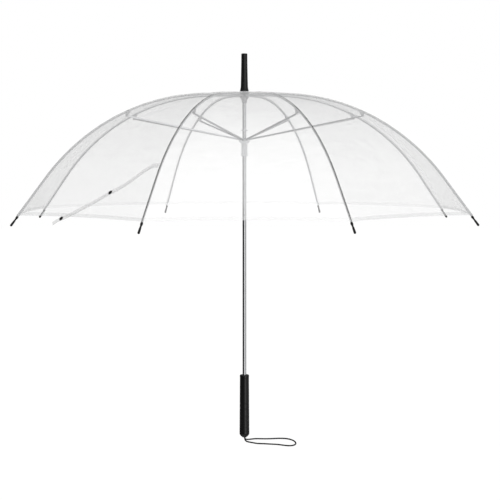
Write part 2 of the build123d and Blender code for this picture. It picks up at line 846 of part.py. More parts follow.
panel_fall = Vector(cos(radians(half_panel)) * cos(radians(tip_slope)), -sin(radians(tip_slope)))
panel_out = Vector(-panel_fall.Y, panel_fall.X).normalized()
snap_offset = strap_low + strap_thickness + snap_gap
for snap_name, (across, rise) in snap_places.items():
    foot = Vector(*slope_point(shank_r - rise / tan(radians(tip_slope)), snap_offset))
    mid_distance = foot.X * cos(radians(half_panel))
    origin = (
        mid_direction[0] * mid_distance + toward_rib[0] * across,
        mid_direction[1] * mid_distance + toward_rib[1] * across,
        foot.Y,
    )
    outward = (mid_direction[0] * panel_out.X, mid_direction[1] * panel_out.X, panel_out.Y)
    with BuildPart() as snap:
        with BuildSketch(Plane(origin, z_dir=outward)):
            Circle(snap_r)
        extrude(amount=snap_height)
        fillet(snap.edges().filter_by(GeomType.CIRCLE).sort_by_distance(origin)[-1], radius=snap_edge)
    with BuildPart() as placed_snap:
        with Locations(Location((0, 0, 0), (0, 0, first_arm_angle))):
            add(snap.part)
    save(placed_snap.part, snap_name)

print("crown", crown_z, "rib joint", rib_joint, "stretcher rivet", stretcher_pivot)
print("runner travel", runner_travel, "ferrule top", ferrule_top_z)
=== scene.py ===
"""Looks for an open clear umbrella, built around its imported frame.

The film, its seams and hems, the patch, rosette, ferrule, grip, tips, strap, snaps and wrist cord
are modelled here. The steel parts keep their CAD shape and get their finish. Units are metres.
"""

import json
import logging
import math
from collections.abc import Callable, Sequence
from dataclasses import dataclass, field
from enum import Enum

import bpy
from mathutils import Matrix, Vector

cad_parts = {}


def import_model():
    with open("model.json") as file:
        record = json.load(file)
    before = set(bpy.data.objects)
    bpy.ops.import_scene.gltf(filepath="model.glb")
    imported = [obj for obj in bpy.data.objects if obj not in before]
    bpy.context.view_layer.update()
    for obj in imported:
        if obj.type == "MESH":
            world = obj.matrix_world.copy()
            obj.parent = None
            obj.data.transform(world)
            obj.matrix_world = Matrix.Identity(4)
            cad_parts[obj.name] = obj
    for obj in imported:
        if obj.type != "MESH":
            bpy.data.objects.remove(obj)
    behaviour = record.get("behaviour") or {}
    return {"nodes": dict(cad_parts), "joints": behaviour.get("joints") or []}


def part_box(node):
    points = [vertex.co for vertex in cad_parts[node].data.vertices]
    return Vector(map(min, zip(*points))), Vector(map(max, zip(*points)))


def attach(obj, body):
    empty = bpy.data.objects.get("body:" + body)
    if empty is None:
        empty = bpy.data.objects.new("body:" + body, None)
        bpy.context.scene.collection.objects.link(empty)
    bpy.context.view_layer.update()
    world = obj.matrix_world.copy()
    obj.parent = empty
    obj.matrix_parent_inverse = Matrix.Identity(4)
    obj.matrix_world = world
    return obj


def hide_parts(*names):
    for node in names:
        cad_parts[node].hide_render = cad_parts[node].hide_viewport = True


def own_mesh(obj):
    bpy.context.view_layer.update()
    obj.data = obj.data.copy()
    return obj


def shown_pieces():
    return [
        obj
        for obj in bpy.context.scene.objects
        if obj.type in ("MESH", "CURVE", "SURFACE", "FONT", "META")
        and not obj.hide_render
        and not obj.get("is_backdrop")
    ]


log = logging.getLogger("umbrella")

ARM_COUNT = 8
HALF_PANEL = math.pi / ARM_COUNT
FIT_GAP = 0.00003
Piece = bpy.types.Object
Material = bpy.types.Material
Colour = tuple[float, float, float]
TUBE_LINES = (1400.0, 1400.0, 30.0)
WIRE_LINES = (900.0, 900.0, 900.0)
Spot = tuple[Vector, float, float]
Corner = Callable[[float, float], Spot]


class Side(Enum):
    """The two halves of a gore, seen from outside with the crown up."""

    LEFT = -1
    RIGHT = 1


class Stretch(Enum):
    """The two stretches of an arm, which ride on different bodies."""

    INNER = "inner"
    OUTER = "outer"


# ---- Shader maths ----
class Signal:
    """A value that varies over a surface; Python's operators add the Math nodes."""

    def __init__(self, wiring: "Wiring", socket: bpy.types.NodeSocket) -> None:
        """Wrap an output socket of a node tree."""
        self.wiring = wiring
        self.socket = socket

    def _math(self, operation: str, first: object, second: object) -> "Signal":
        """Add one Math node.

        Args:
            operation: the node's operation.
            first: its first input, a signal or a number.
            second: its second input, a signal or a number.

        Returns:
            The node's result.
        """
        return self.wiring.node("ShaderNodeMath", {"operation": operation}, {0: first, 1: second})

    def __add__(self, other: object) -> "Signal":
        """Add."""
        return self._math("ADD", self, other)

    def __radd__(self, other: object) -> "Signal":
        """Add, reflected."""
        return self._math("ADD", other, self)

    def __sub__(self, other: object) -> "Signal":
        """Subtract."""
        return self._math("SUBTRACT", self, other)

    def __rsub__(self, other: object) -> "Signal":
        """Subtract, reflected."""
        return self._math("SUBTRACT", other, self)

    def __mul__(self, other: object) -> "Signal":
        """Multiply."""
        return self._math("MULTIPLY", self, other)

    def __rmul__(self, other: object) -> "Signal":
        """Multiply, reflected."""
        return self._math("MULTIPLY", other, self)

    def __truediv__(self, other: object) -> "Signal":
        """Divide."""
        return self._math("DIVIDE", self, other)

    def __rtruediv__(self, other: object) -> "Signal":
        """Divide, reflected."""
        return self._math("DIVIDE", other, self)

    def __pow__(self, other: object) -> "Signal":
        """Raise to a power."""
        return self._math("POWER", self, other)

    def wave(self) -> "Signal":
        """The sine of the signal, from -1 to 1."""
        return self._math("SINE", self, 0.0)

    def turn_from(self, other: "Signal") -> "Signal":
        """The angle whose tangent is this signal over another, in radians."""
        return self._math("ARCTAN2", self, other)

    def clipped(self) -> "Signal":
        """The signal held between 0 and 1."""
        return self.wiring.node("ShaderNodeClamp", {}, {"Value": self})


class Wiring:
    """A node tree, with the few kinds of node that the finishes need."""

    def __init__(self, tree: bpy.types.NodeTree) -> None:
        """Take up a node tree."""
        self.tree = tree

    def node(self, kind: str, settings: dict[str, object], inputs: dict, out: int | str = 0) -> Signal:
        """Add any node.

        Args:
            kind: the node's type.
            settings: its properties; a ramp's stops are given as "stops".
            inputs: values or signals for its sockets, by name or number.
            out: which output to return.

        Returns:
            The chosen output.
        """
        made = self.tree.nodes.new(kind)
        for key, value in settings.items():
            if key == "stops":
                self._set_stops(made, value)
            else:
                setattr(made, key, value)
        for key, value in inputs.items():
            if isinstance(value, Signal):
                self.tree.links.new(value.socket, made.inputs[key])
            else:
                made.inputs[key].default_value = value
        return Signal(self, made.outputs[out])

    @staticmethod
    def _set_stops(ramp: bpy.types.Node, stops: Sequence[tuple[float, tuple]]) -> None:
        """Give a colour ramp its stops, as (place, colour) pairs."""
        while len(ramp.color_ramp.elements) < len(stops):
            ramp.color_ramp.elements.new(0.5)
        for element, (place, colour) in zip(ramp.color_ramp.elements, stops):
            element.position = place
            element.color = colour

    def parts(self, vector: Signal) -> tuple[Signal, Signal, Signal]:
        """A vector's three numbers."""
        split = self.tree.nodes.new("ShaderNodeSeparateXYZ")
        self.tree.links.new(vector.socket, split.inputs[0])
        return tuple(Signal(self, split.outputs[i]) for i in range(3))

    def ramp(self, share: Signal, stops: Sequence[tuple[float, tuple]]) -> Signal:
        """Colours that follow a share from 0 to 1, as (place, colour) pairs."""
        return self.node("ShaderNodeValToRGB", {"stops": stops}, {"Fac": share})

    def grey_ramp(self, share: Signal, stops: Sequence[tuple[float, float]]) -> Signal:
        """Greys that follow a share from 0 to 1, as (place, grey) pairs."""
        return self.ramp(share, [(place, (tone, tone, tone, 1.0)) for place, tone in stops])


class Paint(Wiring):
    """A material's node tree, with one Principled shader."""

    def __init__(self, name: str, constants: dict[str, object]) -> None:
        """Start a material.

        Args:
            name: the material's name.
            constants: the shader's sockets that are the same all over the surface.
        """
        self.material = bpy.data.materials.new(name)
        self.material.use_nodes = True
        super().__init__(self.material.node_tree)
        self.shader = self.tree.nodes["Principled BSDF"]
        for socket, value in constants.items():
            self.shader.inputs[socket].default_value = value

    def place(self) -> Signal:
        """The point's place on the object."""
        return self.node("ShaderNodeTexCoord", {}, {}, out="Object")

    def normal(self) -> Signal:
        """The direction that the surface faces, in object space."""
        return self.node("ShaderNodeTexCoord", {}, {}, out="Normal")

    def uv(self) -> Signal:
        """The point's place on the piece's own UV map."""
        return self.node("ShaderNodeTexCoord", {}, {}, out="UV")

    def scaled(self, vector: Signal, scale: Sequence[float]) -> Signal:
        """A vector stretched along its axes."""
        return self.node("ShaderNodeMapping", {}, {"Vector": vector, "Scale": tuple(scale)})

    def noise(self, vector: Signal, scale: float, detail: float = 3.0) -> Signal:
        """Smooth noise from 0 to 1."""
        sockets = {"Vector": vector, "Scale": scale, "Detail": detail, "Roughness": 0.55}
        return self.node("ShaderNodeTexNoise", {}, sockets)

    def facing(self, blend: float) -> Signal:
        """How much the surface turns edge-on, from 0 to 1."""
        return self.node("ShaderNodeLayerWeight", {}, {"Blend": blend}, out="Facing")

    def colour_between(self, share: Signal, low: Sequence[float], high: Sequence[float]) -> Signal:
        """A colour that goes from low to high with a share from 0 to 1."""
        return self.ramp(share, [(0.0, (*low, 1.0)), (1.0, (*high, 1.0))])

    def bumped(self, height: Signal, strength: float, distance: float) -> None:
        """Turn a height into the shader's normal."""
        sockets = {"Height": height, "Strength": strength, "Distance": distance}
        self.feed("Normal", self.node("ShaderNodeBump", {}, sockets))

    def feed(self, socket: str, value: Signal) -> None:
        """Link a signal to one of the shader's sockets."""
        self.tree.links.new(value.socket, self.shader.inputs[socket])


# ---- Finishes ----
@dataclass(frozen=True)
class Steel:
    """Drawn or plated steel with fine lines along one axis and soft smudges."""

    name: str
    dark: Colour
    light: Colour
    smooth: float
    rough: float
    line_scale: tuple[float, float, float] = TUBE_LINES
    line_depth: float = 0.00002

    def make(self) -> Material:
        """Build the material."""
        paint = Paint(self.name, {"Metallic": 1.0})
        place = paint.place()
        smudge = paint.noise(place, 60.0)
        lines = paint.noise(paint.scaled(place, self.line_scale), 1.0, 2.0)
        share = (smudge * 0.6 + lines * 0.4).clipped()
        paint.feed("Base Color", paint.colour_between(share, self.dark, self.light))
        paint.feed("Roughness", share * (self.rough - self.smooth) + self.smooth)
        paint.bumped(lines, 0.25, self.line_depth)
        return paint.material


@dataclass(frozen=True)
class ChannelSteel:
    """A rib's channel, one steel painted by side: painted shade on the faces turned outwards under the film,
    painted light on the faces turned in towards the shaft.
    """

    name: str
    outward_shade_grey: Colour
    inward_light_grey: Colour
    dome_centre: float = 0.24

    def make(self) -> Material:
        """Build the material."""
        paint = Paint(self.name, {})
        place = paint.place()
        x, y, z = paint.parts(place)
        faces_x, faces_y, faces_z = paint.parts(paint.normal())
        rise = z - self.dome_centre
        outward = (x * faces_x + y * faces_y + rise * faces_z) / (x * x + y * y + rise * rise) ** 0.5
        # Painted shade and painted light by side: faces turned outwards under the film take the dark grey,
        # faces turned in towards the shaft take the pale grey, with wear noise.
        outward_shade_share = (outward * 3.0 + 0.58).clipped()
        wear = paint.noise(place, 700.0, 3.0)
        share = (outward_shade_share * (1.0 - (wear - 0.35) * 0.25)).clipped()
        paint.feed("Base Color", paint.colour_between(share, self.inward_light_grey, self.outward_shade_grey))
        paint.feed("Metallic", 0.2 - share * 0.15)
        paint.feed("Roughness", wear * 0.2 + 0.3)
        paint.bumped(wear, 0.25, 0.00002)
        return paint.material


@dataclass(frozen=True)
class MouldedPlastic:
    """Opaque moulded plastic: fine spark grain, faint flow marks and handling shine."""

    name: str
    dark: Colour
    light: Colour
    shine: float
    matt: float
    grain: float = 1800.0

    def make(self) -> Material:
        """Build the material."""
        paint = Paint(self.name, {"IOR": 1.49, "Specular IOR Level": 0.36})
        place = paint.place()
        flow = paint.noise(paint.scaled(place, (60.0, 60.0, 18.0)), 1.0)
        grain = paint.noise(place, self.grain, 2.0)
        paint.feed("Base Color", paint.colour_between(flow, self.dark, self.light))
        handled = (flow * 0.7 + grain * 0.3).clipped()
        paint.feed("Roughness", handled * (self.matt - self.shine) + self.shine)
        paint.bumped(grain * 0.7 + flow * 0.3, 0.3, 0.00003)
        return paint.material


@dataclass(frozen=True)
class TranslucentPlastic:
    """Milky or smoky moulded plastic that lets some light through."""

    name: str
    thin: Colour
    thick: Colour
    clear: float
    solid: float
    rough: float = 0.28

    def make(self) -> Material:
        """Build the material."""
        paint = Paint(self.name, {"IOR": 1.5})
        place = paint.place()
        cloud = paint.noise(place, 170.0, 4.0)
        grain = paint.noise(place, 1500.0, 2.0)
        edge = paint.facing(0.35)
        paint.feed("Base Color", paint.colour_between(cloud * 0.5 + edge * 0.5, self.thin, self.thick))
        paint.feed("Roughness", cloud * 0.12 + self.rough)
        paint.feed("Alpha", (edge * (self.solid - self.clear) + self.clear + cloud * 0.06).clipped())
        paint.bumped(grain, 0.2, 0.00003)
        return paint.material


@dataclass(frozen=True)
class ClearFilm:
    """Slightly hazy clear film: nearly white face on, denser edge-on and greyed there by painted shade, with
    faint creases that add painted crease shading.
    """

    name: str
    face: float
    edge: float
    bright: float = 0.99
    grazing_shade: float = 0.62
    haze: float = 0.05

    def make(self) -> Material:
        """Build the material."""
        paint = Paint(self.name, {"IOR": 1.45})
        place = paint.place()
        cloud = paint.noise(place, 9.0, 4.0)
        marks = paint.noise(paint.scaled(place, (26.0, 26.0, 70.0)), 1.0, 5.0)
        specks = paint.noise(place, 420.0, 2.0)
        turned = paint.facing(0.5)
        # Painted shade: the colour greys as the film turns edge-on, and the crease marks add painted crease
        # shading there.
        grazing_shade_share = ((turned - 0.16) * 2.6 + (marks - 0.5) * 0.5 * turned).clipped()
        pale = (self.bright, self.bright, self.bright)
        shaded = (self.grazing_shade, self.grazing_shade, self.grazing_shade)
        paint.feed("Base Color", paint.colour_between(grazing_shade_share, pale, shaded))
        paint.feed("Roughness", cloud * 0.12 + marks * 0.08 + 0.16)
        veil = (marks - 0.5) * self.haze + (specks - 0.5) * (self.haze * 0.3) + self.face
        paint.feed("Alpha", (turned * turned * (self.edge - self.face) + veil).clipped())
        paint.bumped(marks * 0.8 + specks * 0.05, 0.35, 0.0006)
        return paint.material


@dataclass(frozen=True)
class WeldedFilm:
    """Film pressed double by a welding bar, with the bar's fine cross-hatch left in it."""

    name: str
    face: float
    edge: float
    pale: Colour = (0.9, 0.9, 0.9)
    grazing_shade: Colour = (0.5, 0.51, 0.52)
    pitch: float = 0.0011

    def make(self) -> Material:
        """Build the material."""
        paint = Paint(self.name, {"IOR": 1.47})
        across, along, _ = paint.parts(paint.uv())
        turns = 2 * math.pi / self.pitch
        hatch = ((across + along) * turns).wave() * ((across - along) * turns).wave()
        cloud = paint.noise(paint.place(), 40.0)
        turned = paint.facing(0.5)
        # Painted shade: the colour greys as the welded film turns edge-on, varied by a little cloud noise.
        grazing_shade_share = ((turned - 0.1) * 2.2 + (cloud - 0.5) * 0.2).clipped()
        paint.feed("Base Color", paint.colour_between(grazing_shade_share, self.pale, self.grazing_shade))
        paint.feed("Roughness", hatch * 0.08 + cloud * 0.1 + 0.22)
        paint.feed("Alpha", (hatch * 0.03 + turned * turned * (self.edge - self.face) + self.face).clipped())
        paint.bumped(hatch, 0.4, 0.00008)
        return paint.material


@dataclass(frozen=True)
class BraidedCord:
    """Black braided cord: two sets of strands that cross over and under."""

    name: str
    strands: int = 8
    pitch: float = 0.0032
    dark: Colour = (0.001, 0.001, 0.001)
    light: Colour = (0.008, 0.008, 0.009)

    def make(self) -> Material:
        """Build the material."""
        paint = Paint(self.name, {"Sheen Weight": 0.02, "IOR": 1.4, "Specular IOR Level": 0.15})
        around, along, _ = paint.parts(paint.uv())
        turn = around * (2 * math.pi * self.strands / 2)
        climb = along * (2 * math.pi / self.pitch)
        # Painted shade: the colour follows the braid's bump, darker in the valleys between strands, with
        # random fuzz.
        weave_shade = (turn + climb).wave() * (turn - climb).wave() * 0.5 + 0.5
        fuzz = paint.noise(paint.place(), 2600.0, 2.0)
        share = (weave_shade * 0.8 + fuzz * 0.2).clipped()
        paint.feed("Base Color", paint.colour_between(share, self.dark, self.light))
        paint.feed("Roughness", fuzz * 0.2 + 0.55)
        paint.bumped(share, 0.8, 0.00018)
        return paint.material


Finish = Steel | ChannelSteel | MouldedPlastic | TranslucentPlastic | ClearFilm | WeldedFilm | BraidedCord


def grey(value: float) -> Colour:
    """A cool grey."""
    return value, value * 1.01, value * 1.03


def made(finish: Finish) -> Material:
    """A palette field that makes its finish with the palette."""
    return field(default_factory=finish.make)


@dataclass
class Palette:
    """Every finish of the umbrella, made once."""

    chromed: Material = made(Steel("chromed_tube", grey(0.5), grey(0.64), 0.1, 0.17, TUBE_LINES, 0.000003))
    spring: Material = made(Steel("spring_steel", grey(0.4), grey(0.62), 0.22, 0.38))
    # The ribs' dark greys are painted shade and their pale greys painted light, set by which way each face
    # turns.
    rib: Material = made(ChannelSteel("inner_rib_steel", grey(0.05), grey(0.85)))
    outer_rib: Material = made(ChannelSteel("outer_rib_steel", grey(0.006), grey(0.85)))
    stretcher: Material = made(Steel("stretcher_zinc", grey(0.58), grey(0.74), 0.25, 0.42, WIRE_LINES))
    black: Material = made(MouldedPlastic("black_plastic", grey(0.002), grey(0.005), 0.25, 0.45))
    grip: Material = made(MouldedPlastic("grip_plastic", grey(0.002), grey(0.005), 0.22, 0.36, 2200.0))
    trim: Material = made(MouldedPlastic("trim_plastic", grey(0.002), grey(0.006), 0.18, 0.3))
    smoke: Material = made(TranslucentPlastic("smoke_plastic", grey(0.4), grey(0.2), 0.62, 0.95))
    milky: Material = made(TranslucentPlastic("milky_plastic", grey(0.72), grey(0.4), 0.6, 0.95))
    rosette: Material = made(TranslucentPlastic("rosette_plastic", grey(0.7), grey(0.4), 0.35, 0.8))
    film: Material = made(ClearFilm("clear_film", 0.155, 0.34, 0.98, 0.76))
    patch: Material = made(ClearFilm("patch_film", 0.08, 0.26, 0.95, 0.75))
    weld: Material = made(WeldedFilm("rib_weld", 0.25, 0.25, grey(0.03), grey(0.03)))
    hem: Material = made(WeldedFilm("hem_weld", 0.09, 0.3))
    strap: Material = made(ClearFilm("strap_film", 0.3, 0.6, 0.85, 0.6))
    cord: Material = made(BraidedCord("braided_cord"))


# ---- Modelling by hand ----
class Bench:
    """Small modelling jobs in edit mode, each on one fresh object."""

    @staticmethod
    def clear() -> None:
        """Leave edit mode and deselect everything."""
        if bpy.context.object is not None and bpy.context.object.mode != "OBJECT":
            bpy.ops.object.mode_set(mode="OBJECT")
        bpy.ops.object.select_all(action="DESELECT")

    @staticmethod
    def take(piece: Piece) -> None:
        """Make a piece the only one that is selected and active."""
        Bench.clear()
        bpy.context.view_layer.objects.active = piece
        piece.select_set(True)

    @staticmethod
    def apply(piece: Piece, kind: str, **settings: object) -> None:
        """Add a modifier with its settings and apply it.

        Args:
            piece: the object.
            kind: the modifier's type.
            **settings: its properties.
        """
        Bench.take(piece)
        modifier = piece.modifiers.new(kind.lower(), kind)
        for key, value in settings.items():
            setattr(modifier, key, value)
        bpy.ops.object.modifier_apply(modifier=modifier.name)

    @staticmethod
    def smooth(piece: Piece, angle: float = 35.0) -> None:
        """Shade smooth, with edges sharper than the angle kept crisp."""
        Bench.take(piece)
        bpy.ops.object.shade_smooth_by_angle(angle=math.radians(angle))

    @staticmethod
    def lathe(name: str, outline: Sequence[tuple[float, float]], sides: int = 64) -> Piece:
        """Turn a closed outline round the Z axis, ring by ring.

        Args:
            name: the piece's name.
            outline: (radius, height) of each ring, anticlockwise; it closes on itself, or on the
                axis where its first and last radii are 0.
            sides: faces round the axis.

        Returns:
            The closed piece.
        """
        Bench.clear()
        solid = outline[0][0] == 0.0
        rings = list(outline[1:-1]) if solid else [*outline, outline[0]]
        radius, height = rings[0]
        fill = "NGON" if solid else "NOTHING"
        bpy.ops.mesh.primitive_circle_add(
            vertices=sides, radius=radius, fill_type=fill, location=(0, 0, height)
        )
        piece = bpy.context.object
        piece.name = name
        bpy.ops.object.transform_apply(location=True, rotation=True, scale=True)
        bpy.ops.object.mode_set(mode="EDIT")
        bpy.ops.mesh.select_all(action="SELECT")
        if solid:
            bpy.ops.mesh.duplicate()
        for next_radius, next_height in rings[1:]:
            bpy.ops.mesh.extrude_region_move(
                TRANSFORM_OT_translate={"value": (0, 0, next_height - height)}
            )
            share = next_radius / radius
            bpy.ops.transform.resize(value=(share, share, 1), center_override=(0, 0, next_height))
            radius, height = next_radius, next_height
        bpy.ops.mesh.select_all(action="SELECT")
        bpy.ops.mesh.remove_doubles(threshold=1e-6)
        bpy.ops.mesh.normals_make_consistent(inside=False)
        bpy.ops.object.mode_set(mode="OBJECT")
        return piece

    @staticmethod
    def round_corner(corner: tuple[float, float], radius: float, steps: range, parts: int) -> list:
        """An outline's points round an outer upper corner, from its side to its top.

        Args:
            corner: where the side and the top would meet, as (radius, height).
            radius: of the rounding.
            steps: which of the parts' ends to give.
            parts: how many parts the quarter turn has.

        Returns:
            The points.
        """
        turns = [step / parts * math.pi / 2 for step in steps]
        reach, height = corner
        return [
            (reach - radius * (1 - math.cos(turn)), height - radius * (1 - math.sin(turn))) for turn in turns
        ]

    @staticmethod
    def grid(name: str, across: int, along: int, place: Corner) -> Piece:
        """Shape a grid primitive into a sheet.

        Args:
            name: the piece's name.
            across: cells along the first direction.
            along: cells along the second.
            place: gives each corner's point and its two pattern coordinates from its two shares.

        Returns:
            The open sheet.
        """
        Bench.clear()
        bpy.ops.mesh.primitive_grid_add(x_subdivisions=across, y_subdivisions=along, size=1)
        piece = bpy.context.object
        piece.name = name
        pattern = {}
        for vertex in piece.data.vertices:
            point, u, v = place(vertex.co.x + 0.5, vertex.co.y + 0.5)
            vertex.co = point
            pattern[vertex.index] = (u, v)
        layer = piece.data.uv_layers.active.data
        for loop in piece.data.loops:
            layer[loop.index].uv = pattern[loop.vertex_index]
        return piece

    @staticmethod
    def thicken(piece: Piece, thickness: float, offset: float = 0.0) -> None:
        """Give a sheet its thickness, with a closed rim."""
        Bench.take(piece)
        bpy.ops.object.mode_set(mode="EDIT")
        bpy.ops.mesh.select_all(action="SELECT")
        bpy.ops.mesh.normals_make_consistent(inside=False)
        bpy.ops.object.mode_set(mode="OBJECT")
        Bench.apply(piece, "SOLIDIFY", thickness=thickness, offset=offset, use_even_offset=True)
        Bench.smooth(piece, 40.0)

    @staticmethod
    def move(piece: Piece, matrix: Matrix) -> None:
        """Move a piece's mesh, and leave its object at the origin."""
        piece.data.transform(matrix)

    @staticmethod
    def copy(piece: Piece, name: str, matrix: Matrix) -> Piece:
        """Copy a piece with its own mesh, moved by a matrix."""
        twin = piece.copy()
        twin.data = piece.data.copy()
        twin.name = name
        bpy.context.scene.collection.objects.link(twin)
        Bench.move(twin, matrix)
        return twin


def dress(piece: Piece, material: Material, node: str | None = None) -> None:
    """Give a piece one material, and hide the CAD node that it stands for.

    Args:
        piece: the piece.
        material: its finish.
        node: the CAD node that the piece stands for.
    """
    piece.data.materials.clear()
    piece.data.materials.append(material)
    if node is not None:
        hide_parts(node)


# ---- Rib line, shared by the film and all that lies on it ----
@dataclass
class RibLine:
    """The line of a rib in its own plane: flat, then a bend, then straight to the tip."""

    crown_z: float
    joint_r: float
    joint_z: float
    flat_r: float = 0.080
    slope: float = math.radians(52.5)
    tip_r: float = 0.504
    tip_length: float = 0.024
    film_hole_r: float = 0.005
    film_rise: float = 0.0028

    def __post_init__(self) -> None:
        """Work out the bend from the places of the crown and the rib joint."""
        drop = self.crown_z - self.joint_z
        self.bend_r = ((self.joint_r - self.flat_r) ** 2 + drop**2) / (2 * drop)
        self.joint_at = self.flat_r + self.bend_r * math.asin((self.joint_r - self.flat_r) / self.bend_r)
        self.bend_end = self.flat_r + self.bend_r * self.slope
        self.slope_start_r = self.flat_r + self.bend_r * math.sin(self.slope)
        self.tip_at = self.bend_end + (self.tip_r - self.slope_start_r) / math.cos(self.slope)
        self.hem_at = self.tip_at - self.tip_length

    def at(self, distance: float, offset: float) -> tuple[float, float]:
        """Radius and height at a distance along the line, offset outwards.

        Args:
            distance: along the line from the axis.
            offset: square to the line, away from the umbrella's inside.

        Returns:
            (radius, height).
        """
        if distance <= self.flat_r:
            share = (self.flat_r - distance) / (self.flat_r - self.film_hole_r)
            return distance, self.crown_z + offset + self.film_rise * share
        turn = min((distance - self.flat_r) / self.bend_r, self.slope)
        beyond = max(distance - self.bend_end, 0.0)
        radius = self.flat_r + (self.bend_r + offset) * math.sin(turn) + beyond * math.cos(self.slope)
        height = self.crown_z - self.bend_r + (self.bend_r + offset) * math.cos(turn)
        return radius, height - beyond * math.sin(self.slope)

    def distance_at_height(self, height: float) -> float:
        """How far along the line the straight stretch or the bend comes down to a height."""
        low, high = self.flat_r, self.tip_at
        for _ in range(40):
            middle = (low + high) / 2
            if self.at(middle, 0.0)[1] > height:
                low = middle
            else:
                high = middle
        return (low + high) / 2


@dataclass
class Panels:
    """Places points on the eight flat-chorded panels between the ribs."""

    line: RibLine
    hem_scallop: float = 0.0035
    pucker: float = 0.0005
    pucker_pitch: float = 0.034
    pucker_reach: float = 0.045
    weld_calm: float = 0.006
    slack_pitch: float = 0.11
    slack_from: float = 0.03

    def on_gore(self, arm_angle: float, side: Side, across: float, distance: float, offset: float) -> Vector:
        """A point of a gore's half.

        Args:
            arm_angle: the arm's turn about +Z.
            side: which half.
            across: distance from the rib along the panel, square to the panel's middle line.
            distance: along the rib line.
            offset: outwards from the rib line.

        Returns:
            The point.
        """
        radius, height = self.line.at(distance, offset)
        x = radius - across * math.sin(HALF_PANEL)
        y = side.value * across * math.cos(HALF_PANEL)
        turned = Matrix.Rotation(arm_angle, 3, "Z")
        return turned @ Vector((x, y, height))

    def half_width(self, distance: float, offset: float) -> float:
        """From the rib to the panel's middle line."""
        return self.line.at(distance, offset)[0] * math.sin(HALF_PANEL)

    def ripple(self, across: float, distance: float, phase: float) -> float:
        """Small puckers beside the rib's weld, and a faint slackness further out."""
        fade = math.exp(-across / self.pucker_reach) * min(1.0, across / self.weld_calm)
        low = math.sin(2 * math.pi * distance / self.pucker_pitch + phase)
        slow = math.sin(2 * math.pi * distance / self.slack_pitch + across * 21.0 + phase * 1.7)
        away = min(1.0, across / self.slack_from)
        return self.pucker * (fade * (1.0 + low) + 0.5 * away * (1.0 + slow))

    def phase(self, arm: int, side: Side) -> float:
        """Where a half's puckers start, so that no two halves are alike."""
        return 1.3 * arm + 0.7 * side.value

    def hem(self, across: float, half_width: float) -> float:
        """Where the hem is along the rib line: it bows up a little towards the panel's middle."""
        share = min(across / half_width, 1.0)
        return self.line.hem_at - self.hem_scallop * (1.0 - (1.0 - share) ** 2)


